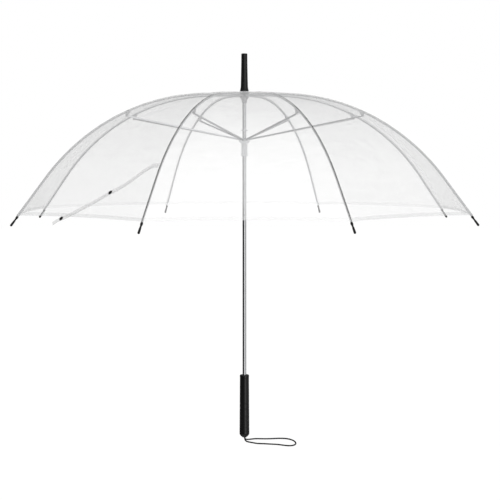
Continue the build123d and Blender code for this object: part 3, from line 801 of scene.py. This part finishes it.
# ---- Canopy ----
@dataclass
class Canopy:
    """The film gores with their welds, hems and apex patch."""

    panels: Panels
    arm_angles: list[float]
    palette: Palette
    film_offset: float = 0.0029
    film_thickness: float = 0.0002
    weld_half_width: float = 0.0013
    weld_offset: float = 0.0031
    weld_thickness: float = 0.00015
    hem_width: float = 0.008
    hem_offset: float = 0.00312
    patch_r: float = 0.039
    patch_ridge: float = 0.0005
    ridge_in: float = 0.0022
    ridge_half_width: float = 0.0009
    outer_keep: float = 0.09
    cells_across: int = 20
    cells_inner: int = 44
    cells_outer: int = 52
    weld_start: float = 0.012
    joint_calm: float = 0.02

    def build(self) -> None:
        """Make every film piece."""
        for arm, angle in enumerate(self.arm_angles, 1):
            for side in Side:
                self._film(arm, angle, side, Stretch.INNER)
                self._film(arm, angle, side, Stretch.OUTER)
                self._hem(arm, angle, side)
                self._patch(arm, angle, side)
            self._weld(arm, angle, Stretch.INNER)
            self._weld(arm, angle, Stretch.OUTER)

    def fold(self, piece: Piece, arm: int, angle: float, side: Side, stretch: Stretch) -> None:
        """Ride on the arm's body.

        Args:
            piece: a film piece of one half of a gore.
            arm: the arm's number.
            angle: the arm's turn about +Z.
            side: not used.
            stretch: which stretch of the arm carries it.
        """
        line = self.panels.line
        first, last = (0.0, line.joint_at) if stretch is Stretch.INNER else (line.joint_at, line.tip_at)
        start, end = line.at(first, self.film_offset), line.at(last, self.film_offset)
        turned = Matrix.Rotation(angle, 3, "Z")
        chord = (turned @ Vector((end[0] - start[0], 0.0, end[1] - start[1]))).normalized()
        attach(piece, f"{stretch.value}_arm_{arm}")
        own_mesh(piece)

    def _film(self, arm: int, angle: float, side: Side, stretch: Stretch) -> None:
        """Make one half of a gore, above or below the rib joint."""
        line, panels = self.panels.line, self.panels
        phase = panels.phase(arm, side)

        def place(u: float, v: float) -> Spot:
            """A corner of the film at its two shares."""
            if stretch is Stretch.INNER:
                distance = line.film_hole_r + v * (line.joint_at - line.film_hole_r)
                across = u * panels.half_width(distance, self.film_offset)
            else:
                rough = line.joint_at + v * (line.hem_at - line.joint_at)
                width = panels.half_width(rough, self.film_offset)
                end = panels.hem(u * width, width)
                distance = line.joint_at + v * (end - line.joint_at)
                across = u * panels.half_width(distance, self.film_offset)
            lift = panels.ripple(across, distance, phase) if distance > line.flat_r else 0.0
            still = min(1.0, abs(distance - line.joint_at) / self.joint_calm) * (1.0 - u**6)
            offset = self.film_offset + lift * still
            return panels.on_gore(angle, side, across, distance, offset), across, distance

        name = f"film_{stretch.value}_{arm}_{side.name.lower()}"
        along = self.cells_inner if stretch is Stretch.INNER else self.cells_outer
        piece = Bench.grid(name, self.cells_across, along, place)
        area = sum(polygon.area for polygon in piece.data.polygons)
        Bench.thicken(piece, self.film_thickness)
        dress(piece, self.palette.film, f"canopy_gore_{arm}")
        self.fold(piece, arm, angle, side, stretch)
        start = line.film_hole_r if stretch is Stretch.INNER else line.joint_at
        end = line.joint_at if stretch is Stretch.INNER else line.hem_at
        flat = (panels.half_width(end, self.film_offset), end - start)
        min(area, flat[0] * flat[1])

    def _weld(self, arm: int, angle: float, stretch: Stretch) -> None:
        """Make the welded seam that runs over a rib."""
        line, panels = self.panels.line, self.panels
        start = self.weld_start if stretch is Stretch.INNER else line.joint_at
        end = line.joint_at if stretch is Stretch.INNER else line.hem_at

        def place(u: float, v: float) -> Spot:
            """A corner of the seam at its two shares."""
            across = (2 * u - 1) * self.weld_half_width
            distance = start + v * (end - start)
            side = Side.RIGHT if across >= 0 else Side.LEFT
            point = panels.on_gore(angle, side, abs(across), distance, self.weld_offset)
            return point, across, distance

        piece = Bench.grid(f"weld_{stretch.value}_{arm}", 4, 50, place)
        Bench.thicken(piece, self.weld_thickness)
        dress(piece, self.palette.weld)
        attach(piece, f"{stretch.value}_arm_{arm}")

    def _hem(self, arm: int, angle: float, side: Side) -> None:
        """Make the doubled hem along the foot of half a gore."""
        line, panels = self.panels.line, self.panels
        width = panels.half_width(line.hem_at, self.hem_offset)
        phase = panels.phase(arm, side)

        def place(u: float, v: float) -> Spot:
            """A corner of the hem at its two shares."""
            distance = panels.hem(u * width, width) - v * self.hem_width
            across = u * panels.half_width(distance, self.hem_offset)
            lift = panels.ripple(across, distance, phase) * (1.0 - u**6)
            point = panels.on_gore(angle, side, across, distance, self.hem_offset + lift)
            return point, across, distance

        piece = Bench.grid(f"hem_{arm}_{side.name.lower()}", 40, 3, place)
        Bench.thicken(piece, self.film_thickness)
        dress(piece, self.palette.hem)
        self.fold(piece, arm, angle, side, Stretch.OUTER)

    def _patch(self, arm: int, angle: float, side: Side) -> None:
        """Make a sector of the disc that strengthens the top, with a ridge along its rim."""
        low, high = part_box("apex_patch")
        hole = self.panels.line.film_hole_r
        top = high.z - self.film_thickness

        def place(u: float, v: float) -> Spot:
            """A corner of the sector at its two shares."""
            radius = hole + v * (self.patch_r - hole)
            turn = angle + side.value * u * HALF_PANEL
            away = (self.patch_r - self.ridge_in - radius) / self.ridge_half_width
            ridge = self.patch_ridge * math.exp(-(away**2))
            height = top + v * (low.z - top) + ridge
            return Vector((radius * math.cos(turn), radius * math.sin(turn), height)), u, radius

        piece = Bench.grid(f"patch_{arm}_{side.name.lower()}", 6, 28, place)
        Bench.thicken(piece, self.film_thickness)
        dress(piece, self.palette.patch, "apex_patch")
        self.fold(piece, arm, angle, side, Stretch.INNER)


# ---- Crown, ferrule and rosette ----
@dataclass
class Top:
    """The ferrule and the rosette washer under it."""

    palette: Palette
    top_round: float = 0.0014
    neck_share: float = 0.815
    top_share: float = 0.696
    flare_height: float = 0.0115
    flare_steps: int = 9
    flutes: int = 12
    flute_depth: float = 0.035

    def build(self) -> None:
        """Make the pieces."""
        self._ferrule()
        self._rosette()

    def _ferrule(self) -> None:
        """Turn the ferrule: a flared foot, a slim taper and a rounded flat top."""
        low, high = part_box("ferrule")
        base = high.x
        neck, top = base * self.neck_share, base * self.top_share
        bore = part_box("shaft_tube")[1].x + FIT_GAP
        foot = low.z
        shaft_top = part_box("shaft_tube")[1].z + 0.0002
        outline = [(0.0, shaft_top), (bore, shaft_top), (bore, foot), (base - 0.0003, foot)]
        outline += [(base, foot + 0.0003), (base, foot + 0.0018), (base - 0.0002, foot + 0.0021)]
        for step in range(1, self.flare_steps + 1):
            share = step / self.flare_steps
            ease = (1 - share) ** 2.2
            outline.append((neck + (base * 0.97 - neck) * ease, foot + 0.0022 + self.flare_height * share))
        outline += [(neck - 0.0004, foot + 0.03), (neck - 0.0009, foot + 0.055)]
        outline += Bench.round_corner((top, high.z), self.top_round, range(7), 6)
        outline += [(top * 0.5, high.z), (0.0, high.z)]
        piece = Bench.lathe("ferrule_turned", outline)
        Bench.smooth(piece, 40.0)
        dress(piece, self.palette.black, "ferrule")
        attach(piece, "shaft")

    def _rosette(self) -> None:
        """Turn the clear washer that clamps the film at the top, and flute its rim."""
        low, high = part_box("top_washer")
        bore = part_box("shaft_tube")[1].x + FIT_GAP
        rim = high.x
        outline = [
            (bore, low.z),
            (rim - 0.0006, low.z),
            (rim, low.z + 0.0004),
            (rim - 0.0001, low.z + 0.0009),
            (rim * 0.88, low.z + 0.0012),
            (rim * 0.72, low.z + 0.0019),
            (rim * 0.64, high.z),
            (bore, high.z),
        ]
        piece = Bench.lathe("rosette_turned", outline, 96)
        for vertex in piece.data.vertices:
            radius = math.hypot(vertex.co.x, vertex.co.y)
            if radius > rim * 0.8:
                turn = math.atan2(vertex.co.y, vertex.co.x)
                wave = 1 - self.flute_depth * (1 - math.cos(self.flutes * turn)) / 2
                vertex.co.x *= wave
                vertex.co.y *= wave
        Bench.smooth(piece, 35.0)
        dress(piece, self.palette.rosette, "top_washer")
        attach(piece, "shaft")


# ---- Rib tips ----
@dataclass
class Tips:
    """The moulded tips that hold the hem's corners on the ribs."""

    line: RibLine
    arm_angles: list[float]
    palette: Palette
    collar_r: float = 0.0025
    neck_r: float = 0.0017
    end_low_r: float = 0.0021
    end_r: float = 0.00235

    def build(self) -> None:
        """Model one tip and copy it to every arm."""
        length = self.line.tip_length
        outline = [(0.0, 0.0), (self.collar_r * 0.84, 0.0), (self.collar_r, 0.0005), (self.collar_r, 0.0036)]
        outline += [(self.collar_r * 0.9, 0.0043), (self.neck_r * 1.06, 0.0060), (self.neck_r, 0.0075)]
        outline += [(self.neck_r, 0.0092), (self.neck_r * 1.08, 0.0102), (self.end_low_r, 0.0115)]
        outline += [(self.end_low_r + 0.00006, 0.0135)]
        outline += Bench.round_corner((self.end_r, length), self.end_r, range(9), 9)
        outline.append((0.0, length))
        model = Bench.lathe("tip_model", outline, 32)
        Bench.smooth(model, 40.0)
        start_r, start_z = self.line.at(self.line.hem_at, 0.0)
        down = Matrix.Rotation(math.pi / 2 + self.line.slope, 4, "Y")
        for arm, angle in enumerate(self.arm_angles, 1):
            turned = Matrix.Rotation(angle, 4, "Z") @ Matrix.Translation((start_r, 0.0, start_z)) @ down
            piece = Bench.copy(model, f"tip_moulded_{arm}", turned)
            dress(piece, self.palette.black, f"rib_tip_{arm}")
            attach(piece, f"outer_arm_{arm}")
        bpy.data.objects.remove(model)


# ---- Grip and wrist cord ----
@dataclass
class Grip:
    """The straight grip with its collar, ring grooves, fine grooves and end cap."""

    palette: Palette
    ring_places: tuple[float, ...] = (0.0063, -0.0046)
    ring_width: float = 0.0014
    ring_depth: float = 0.0006
    fine_above_foot: float = 0.0068
    fine_pitch: float = 0.0078
    fine_count: int = 5
    fine_width: float = 0.0012
    fine_depth: float = 0.00035
    top_r: float = 0.00975
    chamber_r: float = 0.005
    chamber_height: float = 0.012
    collar_round: float = 0.0018
    cap_end_r: float = 0.0043
    cap_hole_r: float = 0.00345
    cap_hole_squeeze: float = 0.52

    def build(self) -> None:
        """Make the three pieces."""
        self._body()
        self._collar()
        self._cap()

    def _groove(self, radius_at: Callable[[float], float], place: float, width: float, depth: float) -> list:
        """The outline's points across one rounded groove, from below to above."""
        points = []
        for step in range(9):
            share = step / 8 * 2 - 1
            height = place + share * width / 2
            cut = depth * math.sqrt(max(0.0, 1 - share**2))
            points.append((radius_at(height) - cut, height))
        return points

    def _body(self) -> None:
        """Turn the grip."""
        low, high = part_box("grip")
        shaft_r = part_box("shaft_tube")[1].x + FIT_GAP
        shaft_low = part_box("shaft_tube")[0].z - FIT_GAP
        top_r, low_r = self.top_r, high.x
        chamber_r, chamber_top = self.chamber_r, low.z + self.chamber_height

        def radius_at(height: float) -> float:
            """The grip's taper."""
            share = (high.z - height) / (high.z - low.z)
            return top_r + (low_r - top_r) * share

        outline = [(0.0, chamber_top), (chamber_r, chamber_top), (chamber_r, low.z)]
        outline += [(low_r - 0.0005, low.z), (low_r, low.z + 0.0005)]
        for place in (low.z + self.fine_above_foot + i * self.fine_pitch for i in range(self.fine_count)):
            outline += self._groove(radius_at, place, self.fine_width, self.fine_depth)
        for place in sorted(self.ring_places):
            outline += self._groove(radius_at, place, self.ring_width, self.ring_depth)
        outline += [(radius_at(0.03), 0.03), (top_r, high.z - 0.0006), (top_r - 0.0005, high.z)]
        outline += [(shaft_r, high.z), (shaft_r, shaft_low), (0.0, shaft_low)]
        piece = Bench.lathe("grip_turned", outline)
        Bench.smooth(piece, 35.0)
        dress(piece, self.palette.grip, "grip")
        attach(piece, "shaft")

    def _collar(self) -> None:
        """Turn the collar at the grip's top."""
        low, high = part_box("grip_collar")
        shaft_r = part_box("shaft_tube")[1].x + FIT_GAP
        rim = high.x
        outline = [(shaft_r, low.z), (rim - 0.0004, low.z), (rim, low.z + 0.0004)]
        outline.append((rim, high.z - self.collar_round))
        outline += Bench.round_corner((rim, high.z), self.collar_round, range(1, 7), 6)
        outline += [(shaft_r + 0.0009, high.z), (shaft_r, high.z - 0.0006)]
        piece = Bench.lathe("collar_turned", outline)
        Bench.smooth(piece, 35.0)
        dress(piece, self.palette.trim, "grip_collar")
        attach(piece, "shaft")

    def _cap(self) -> None:
        """Turn the end cap, and open the oval hole that the cord leaves by."""
        low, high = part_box("grip_end_cap")
        rim, end, hole = high.x, self.cap_end_r, self.cap_hole_r
        outline = [(hole, low.z + 0.0004), (hole + 0.0003, low.z), (end, low.z)]
        outline.append((end + 0.0006, low.z + 0.0003))
        for step in range(1, 6):
            share = step / 6
            bulge = 0.0006 * math.sin(math.pi * share)
            outline.append((end + (rim - end) * share + bulge, low.z + (high.z - low.z) * 0.84 * share))
        outline += [(rim - 0.0001, high.z - 0.0012), (rim, high.z - 0.0006), (rim - 0.0004, high.z)]
        outline += [(hole, high.z)]
        piece = Bench.lathe("cap_turned", outline)
        for vertex in piece.data.vertices:
            if math.hypot(vertex.co.x, vertex.co.y) < hole + 0.0001:
                vertex.co.x *= self.cap_hole_squeeze
        Bench.smooth(piece, 35.0)
        dress(piece, self.palette.trim, "grip_end_cap")
        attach(piece, "shaft")


@dataclass
class WristCord:
    """The loop of braided cord, with both ends knotted inside the grip."""

    palette: Palette
    diameter: float = 0.0030
    strand: float = 0.00165
    knot_z: float = -0.0600
    exit_z: float = -0.0715
    lean_z: float = -0.0756
    rest_z: float = -0.0768
    sides: int = 20
    route: tuple[tuple[float, float], ...] = (
        (0.004, -0.005), (0.014, -0.013), (0.027, -0.025), (0.041, -0.0265), (0.056, -0.031),
        (0.070, -0.0335), (0.084, -0.043), (0.097, -0.0488), (0.107, -0.040), (0.1105, -0.024),
        (0.109, -0.006), (0.103, 0.012), (0.092, 0.0245), (0.076, 0.0275), (0.058, 0.0225),
        (0.040, 0.022), (0.025, 0.0245), (0.013, 0.0185),
    )
    last: tuple[float, float] = (0.005, 0.010)

    def build(self) -> Piece:
        """Make the cord as a smooth curve and sweep its braid along it.

        Returns:
            The cord's piece.
        """
        points = [(0.0, -self.strand, self.knot_z), (0.0, -self.strand, self.exit_z)]
        points += [(x, y, self.rest_z) for x, y in self.route]
        points.append((*self.last, self.lean_z))
        points += [(0.0, self.strand, self.exit_z), (0.0, self.strand, self.knot_z)]
        centre = self._centreline(points)
        piece = self._tube(centre)
        dress(piece, self.palette.cord, "wrist_cord")
        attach(piece, "shaft")
        return piece

    @staticmethod
    def _centreline(points: Sequence[tuple[float, float, float]]) -> list[Vector]:
        """Points read from the smooth curve through the route."""
        curve = bpy.data.curves.new("cord_route", "CURVE")
        curve.dimensions = "3D"
        curve.resolution_u = 8
        spline = curve.splines.new("NURBS")
        spline.points.add(len(points) - 1)
        for control, point in zip(spline.points, points):
            control.co = (*point, 1.0)
        spline.order_u = 3
        spline.use_endpoint_u = True
        holder = bpy.data.objects.new("cord_route", curve)
        mesh = bpy.data.meshes.new_from_object(holder)
        centre = [vertex.co.copy() for vertex in mesh.vertices]
        bpy.data.meshes.remove(mesh)
        bpy.data.objects.remove(holder)
        bpy.data.curves.remove(curve)
        return centre

    def _tube(self, centre: list[Vector]) -> Piece:
        """Wrap a grid round the centreline, close its ends and lay its pattern out."""
        frames, travelled = [], [0.0]
        normal = Vector((1.0, 0.0, 0.0))
        for index, point in enumerate(centre):
            ahead = centre[min(index + 1, len(centre) - 1)]
            behind = centre[max(index - 1, 0)]
            tangent = (ahead - behind).normalized()
            normal = (normal - tangent * normal.dot(tangent)).normalized()
            frames.append((point, normal, tangent.cross(normal)))
            if index:
                travelled.append(travelled[-1] + (point - centre[index - 1]).length)
        radius = self.diameter / 2

        def place(u: float, v: float) -> Spot:
            """A corner of the tube at its two shares."""
            index = min(len(centre) - 1, round(v * (len(centre) - 1)))
            point, first, second = frames[index]
            turn = 2 * math.pi * u
            return point + (first * math.cos(turn) + second * math.sin(turn)) * radius, u, travelled[index]

        piece = Bench.grid("wrist_cord_braid", self.sides, len(centre) - 1, place)
        Bench.take(piece)
        bpy.ops.object.mode_set(mode="EDIT")
        bpy.ops.mesh.select_all(action="SELECT")
        bpy.ops.mesh.remove_doubles(threshold=1e-6)
        bpy.ops.mesh.select_all(action="DESELECT")
        bpy.ops.mesh.select_non_manifold()
        bpy.ops.mesh.edge_face_add()
        bpy.ops.mesh.select_all(action="SELECT")
        bpy.ops.mesh.normals_make_consistent(inside=False)
        bpy.ops.object.mode_set(mode="OBJECT")
        Bench.smooth(piece, 60.0)
        return piece


# ---- Closure strap ----
@dataclass
class Strap:
    """The film strap that closes the umbrella, with its two snap halves."""

    panels: Panels
    canopy: Canopy
    palette: Palette
    arm: int = 1
    width: float = 0.010
    thickness: float = 0.0004
    offset: float = 0.0040
    side: Side = Side.LEFT
    line: tuple[tuple[float, float], ...] = (
        (0.156, 0.0993), (0.141, 0.0978), (0.126, 0.0893), (0.108, 0.0743), (0.084, 0.0583),
        (0.063, 0.0483), (0.035, 0.0323), (0.004, 0.0168), (-0.020, 0.0053), (-0.040, -0.0022),
        (-0.050, -0.0067), (-0.0585, -0.0122),
    )
    snap_r: float = 0.00425
    snap_rise: float = 0.0016
    snap_lift: float = 0.0008
    snap_reach: float = 0.004
    snap_spots: tuple[tuple[str, int], ...] = (("strap_snap_stud", 5), ("strap_snap_socket", 9))

    def _spot(self, across: float, height: float, lift: float) -> Vector:
        """A point over the strap's panel.

        Args:
            across: from the panel's middle line towards the arm.
            height: above the hem's corners.
            lift: outwards from the rib line.

        Returns:
            The point.
        """
        rib_line = self.panels.line
        distance = rib_line.distance_at_height(rib_line.at(rib_line.hem_at, 0.0)[1] + height)
        angle = self.canopy.arm_angles[self.arm - 1]
        reach = self.panels.half_width(distance, lift) - across
        return self.panels.on_gore(angle, self.side, reach, distance, lift)

    def _middle(self, share: float) -> tuple[float, float]:
        """The strap's middle line at a share of its length, smooth through its points."""
        spans = len(self.line) - 1
        index = min(int(share * spans), spans - 1)
        t = share * spans - index
        before = self.line[max(index - 1, 0)]
        a, b = self.line[index], self.line[index + 1]
        after = self.line[min(index + 2, spans)]
        value = []
        for k in range(2):
            slope_a, slope_b = (b[k] - before[k]) / 2, (after[k] - a[k]) / 2
            value.append(
                (2 * t**3 - 3 * t**2 + 1) * a[k]
                + (t**3 - 2 * t**2 + t) * slope_a
                + (3 * t**2 - 2 * t**3) * b[k]
                + (t**3 - t**2) * slope_b
            )
        return value[0], value[1]

    def build(self) -> None:
        """Make the strap and its snaps."""
        angle = self.canopy.arm_angles[self.arm - 1]
        fall = 1 / math.sin(self.panels.line.slope)

        def place(u: float, v: float) -> Spot:
            """A corner of the strap at its two shares."""
            here, ahead = self._middle(max(v - 0.004, 0.0)), self._middle(min(v + 0.004, 1.0))
            along = Vector((ahead[0] - here[0], (ahead[1] - here[1]) * fall)).normalized()
            square = Vector((-along.y, along.x)) * ((u - 0.5) * self.width)
            middle = self._middle(v)
            ripple = 0.0005 * (1 + math.sin(v * 31.0) * 0.6 + math.sin(v * 13.0 + u) * 0.4)
            curl = 0.0003 * (2 * u - 1) ** 2
            lift = self.offset + ripple * math.sin(math.pi * v) ** 0.5 + curl
            point = self._spot(middle[0] + square.x, middle[1] + square.y / fall, lift)
            return point, u * self.width, v * 0.26

        piece = Bench.grid("strap_film", 6, 120, place)
        Bench.thicken(piece, self.thickness)
        dress(piece, self.palette.strap, "closure_strap")
        self.canopy.fold(piece, self.arm, angle, self.side, Stretch.OUTER)
        for node, index in self.snap_spots:
            self._snap(node, self.line[index])

    def _snap(self, node: str, spot: tuple[float, float]) -> None:
        """Turn one snap half: a ringed, domed cap above the strap."""
        cap_r, rise, lift = self.snap_r, self.snap_rise, self.offset + self.snap_lift
        outline = [(0.0, 0.0), (cap_r - 0.0003, 0.0), (cap_r, 0.0003), (cap_r, 0.0008)]
        outline += [(cap_r - 0.0005, 0.0012), (cap_r - 0.0011, 0.00125)]
        outline += [(cap_r - 0.0014, 0.00095), (cap_r - 0.0018, 0.0012)]
        outline += [(cap_r - 0.0027, 0.00148), (cap_r - 0.0036, rise - 0.00003), (0.0, rise)]
        piece = Bench.lathe(node.replace("strap_", "") + "_cap", outline, 48)
        Bench.smooth(piece, 30.0)
        foot = self._spot(spot[0], spot[1], lift)
        above = self._spot(spot[0], spot[1] + self.snap_reach, lift)
        beside = self._spot(spot[0] + self.snap_reach, spot[1], lift)
        outward = (beside - foot).cross(above - foot).normalized()
        if outward.dot(Vector((foot.x, foot.y, 0.0))) < 0:
            outward.negate()
        turn = Vector((0.0, 0.0, 1.0)).rotation_difference(outward).to_matrix().to_4x4()
        Bench.move(piece, Matrix.Translation(foot) @ turn)
        dress(piece, self.palette.trim, node)
        self.canopy.fold(piece, self.arm, self.canopy.arm_angles[self.arm - 1], self.side, Stretch.OUTER)


# ---- Steel and plastic pieces that keep their CAD shape ----
@dataclass
class CarriedParts:
    """CAD nodes that are shown as they are, each with its finish."""

    nodes: dict[str, Piece]
    palette: Palette

    def build(self) -> None:
        """Give every carried node its material."""
        palette = self.palette
        finishes = {
            "shaft_tube": palette.chromed,
            "crown": palette.smoke,
            "crown_wire": palette.spring,
            "crown_pin": palette.spring,
            "stop_ring": palette.milky,
            "runner_sleeve": palette.milky,
            "runner_wire": palette.spring,
            "top_catch": palette.spring,
            "bottom_catch": palette.spring,
            "cord_knot": palette.cord,
        }
        for arm in range(1, ARM_COUNT + 1):
            finishes[f"rib_inner_{arm}"] = palette.rib
            finishes[f"rib_outer_{arm}"] = palette.outer_rib
            finishes[f"stretcher_{arm}"] = palette.stretcher
        for name, material in finishes.items():
            dress(self.nodes[name], material)
            log.info("%s keeps its shape and takes %s", name, material.name)


# ---- Studio ----
@dataclass
class Studio:
    """A pale floor, an even white surround, soft lights and the camera."""

    floor_z: float
    camera_distance: float = 2.764
    camera_z: float = 0.5284
    azimuth: float = math.radians(-0.557)
    yaw: float = math.radians(0.249)
    tilt: float = math.radians(3.958)
    lens: float = 93.23
    key_azimuth: float = math.radians(30)
    key_distance: float = 2.6
    key_z: float = 0.4
    key_width: float = 1.3
    key_height: float = 3.0
    key_watts: float = 17.0
    screens: tuple[tuple[float, float], ...] = (
        (0.0, 0.15), (0.14, 0.06), (0.47, 0.05), (0.51, 0.75), (0.57, 0.75), (0.63, 0.5),
        (0.7, 0.4), (0.86, 0.4), (0.93, 0.2), (1.0, 0.15),
    )
    overhead: tuple[tuple[float, float], ...] = ((0.0, 0.6), (0.3, 0.1), (0.5, 0.0), (0.75, 0.3), (1.0, 1.0))
    ceiling: float = 0.7

    def build(self) -> None:
        """Set up the camera, floor, lights and surround."""
        self._camera()
        self._floor()
        self._key_light()
        self._surround()

    def _camera(self) -> None:
        """Stand the camera in front of the umbrella, looking slightly down."""
        data = bpy.data.cameras.new("camera")
        data.lens = self.lens
        data.sensor_width = 36.0
        data.clip_end = 50.0
        camera = bpy.data.objects.new("camera", data)
        bpy.context.scene.collection.objects.link(camera)
        camera.location = (
            self.camera_distance * math.sin(self.azimuth),
            -self.camera_distance * math.cos(self.azimuth),
            self.camera_z,
        )
        camera.rotation_euler = (math.pi / 2 - self.tilt, 0.0, self.azimuth - self.yaw)
        bpy.context.scene.camera = camera

    def _floor(self) -> None:
        """Lay a pale round floor just under the cord."""
        Bench.clear()
        bpy.ops.mesh.primitive_circle_add(
            vertices=96, radius=9.0, fill_type="NGON", location=(0.0, 0.0, self.floor_z)
        )
        floor = bpy.context.object
        floor.name = "floor"
        paint = Paint("pale_floor", {"Roughness": 0.9, "Specular IOR Level": 0.0})
        paint.shader.inputs["Base Color"].default_value = (0.1, 0.1, 0.1, 1.0)
        paint.shader.inputs["Emission Color"].default_value = (1.0, 1.0, 1.0, 1.0)
        paint.shader.inputs["Emission Strength"].default_value = 0.93
        floor.data.materials.append(paint.material)
        floor.visible_glossy = False
        floor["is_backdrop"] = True

    def _key_light(self) -> None:
        """Hang one large soft light in front, on the right."""
        data = bpy.data.lights.new("key_light", "AREA")
        data.energy = self.key_watts
        data.shape = "RECTANGLE"
        data.size, data.size_y = self.key_width, self.key_height
        light = bpy.data.objects.new("key_light", data)
        bpy.context.scene.collection.objects.link(light)
        place = Vector((math.sin(self.key_azimuth), -math.cos(self.key_azimuth), 0.0)) * self.key_distance
        light.location = place + Vector((0.0, 0.0, self.key_z))
        light.rotation_euler = (-place).to_track_quat("-Z", "Y").to_euler()

    def _surround(self) -> None:
        """Fill the world with even white light, and let the metal see dark and pale screens."""
        scene = bpy.context.scene
        world = bpy.data.worlds.new("surround")
        world.use_nodes = True
        scene.world = world
        wiring = Wiring(world.node_tree)
        direction = wiring.node("ShaderNodeTexCoord", {}, {}, out="Generated")
        x, y, z = wiring.parts(direction)
        round_share = x.turn_from(y * -1.0) / (2 * math.pi) + 0.5
        screens = wiring.grey_ramp(round_share, self.screens)
        overhead = wiring.grey_ramp((z * 0.5 + 0.5).clipped(), self.overhead)
        seen = screens * (1.0 - overhead) + overhead * self.ceiling
        glossy = wiring.node("ShaderNodeLightPath", {}, {}, out="Is Glossy Ray")
        strength = glossy * seen + (1.0 - glossy)
        background = world.node_tree.nodes["Background"]
        background.inputs["Color"].default_value = (1.0, 1.0, 1.0, 1.0)
        world.node_tree.links.new(strength.socket, background.inputs["Strength"])
        scene.view_settings.view_transform = "Standard"
        scene.cycles.transparent_max_bounces = 24


# ---- The whole umbrella ----
def joint_place(joints: Sequence[dict], name: str) -> Vector:
    """Where a joint of the frame is."""
    return Vector(next(joint["pos_m"] for joint in joints if joint["name"] == name))


def main() -> None:
    """Build the looks around the frame."""
    logging.basicConfig(level=logging.INFO, format="%(message)s")
    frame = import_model()
    bpy.context.view_layer.update()

    crown = joint_place(frame["joints"], "canopy_fold")
    joint = joint_place(frame["joints"], "rib_flex_1")
    line = RibLine(crown.z, math.hypot(joint.x, joint.y), joint.z)
    angles = [
        math.atan2(place.y, place.x)
        for place in (joint_place(frame["joints"], f"rib_flex_{arm}") for arm in range(1, ARM_COUNT + 1))
    ]
    palette = Palette()
    panels = Panels(line)

    Studio(floor_z=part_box("wrist_cord")[0].z - 0.0002).build()
    WristCord(palette).build()
    canopy = Canopy(panels, angles, palette)
    canopy.build()
    Top(palette).build()
    Tips(line, angles, palette).build()
    Grip(palette).build()
    Strap(panels, canopy, palette).build()
    CarriedParts(frame["nodes"], palette).build()

    bpy.context.view_layer.update()
    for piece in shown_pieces():
        log.info("%s: %d faces", piece.name, len(piece.data.polygons))


if __name__ == "__main__":
    main()
